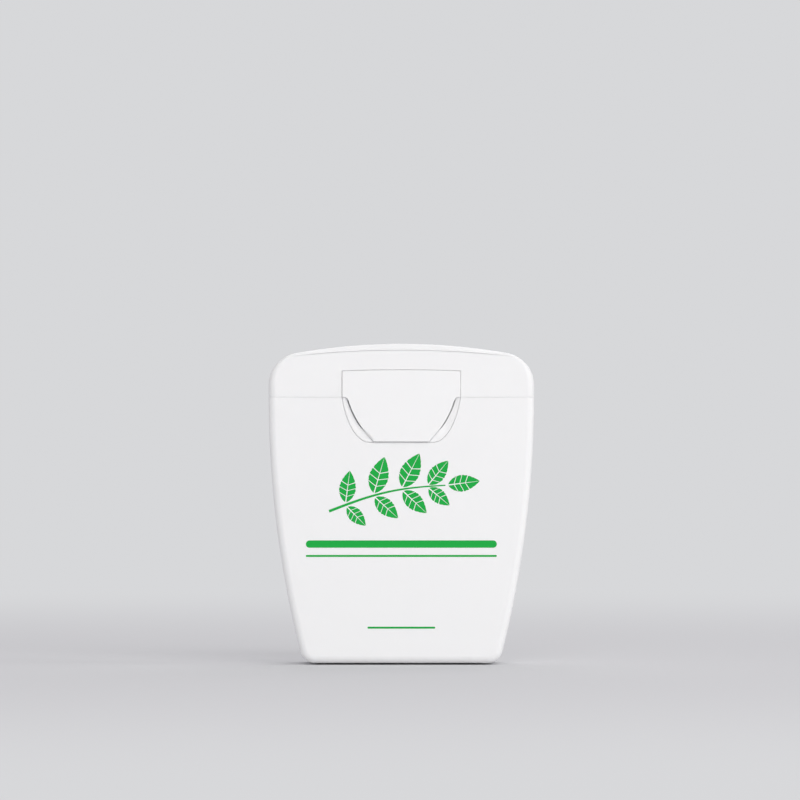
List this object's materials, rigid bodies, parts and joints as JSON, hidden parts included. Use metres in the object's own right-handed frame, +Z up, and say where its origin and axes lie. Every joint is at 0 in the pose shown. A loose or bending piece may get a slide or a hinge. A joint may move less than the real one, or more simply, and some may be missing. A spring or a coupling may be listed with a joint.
{
  "type": "dental floss dispenser",
  "caption": "Flat flip-top dispenser case for a spool of dental floss, with a thumb tab on the lid and a steel cutter under it.",
  "frame": {"origin": "centre of the object's footprint, on the surface that it stands on", "axes": "+X to the right as seen from the front, +Y from front to back, +Z up; the thumb tab is on the -Y side"},
  "size_m": [0.047, 0.0196, 0.0569],
  "materials": {
    "case_plastic": "white moulded polypropylene, satin",
    "hinge_plastic": "white moulded polypropylene, thin and flexed",
    "deck_plastic": "white moulded plastic, fine matt",
    "cutter_steel": "stamped stainless sheet",
    "core_plastic": "plain moulded tube",
    "floss": "waxed nylon strand"
  },
  "bodies": {
    "case": {"front_shell": "case_plastic", "back_shell": "case_plastic", "lid_hinge": "hinge_plastic", "bottom_hinge_left": "hinge_plastic", "bottom_hinge_right": "hinge_plastic", "cutter_deck": "deck_plastic", "cutter": "cutter_steel", "floss_lead": "floss"},
    "lid": {"lid": "case_plastic"},
    "spool": {"spool_core": "core_plastic", "floss_winding": "floss"}
  },
  "joints": [
    {"name": "lid_flip", "type": "hinge", "parent": "case", "child": "lid", "pos_m": [0, 0.0098, 0.0474], "axis": [-1, 0, 0], "range_deg": [0, 130], "deforming": ["lid_hinge"]},
    {"name": "spool_spin", "type": "hinge", "parent": "case", "child": "spool", "pos_m": [0, 0.0003, 0.0204], "axis": [0, 1, 0], "continuous": true}
  ]
}
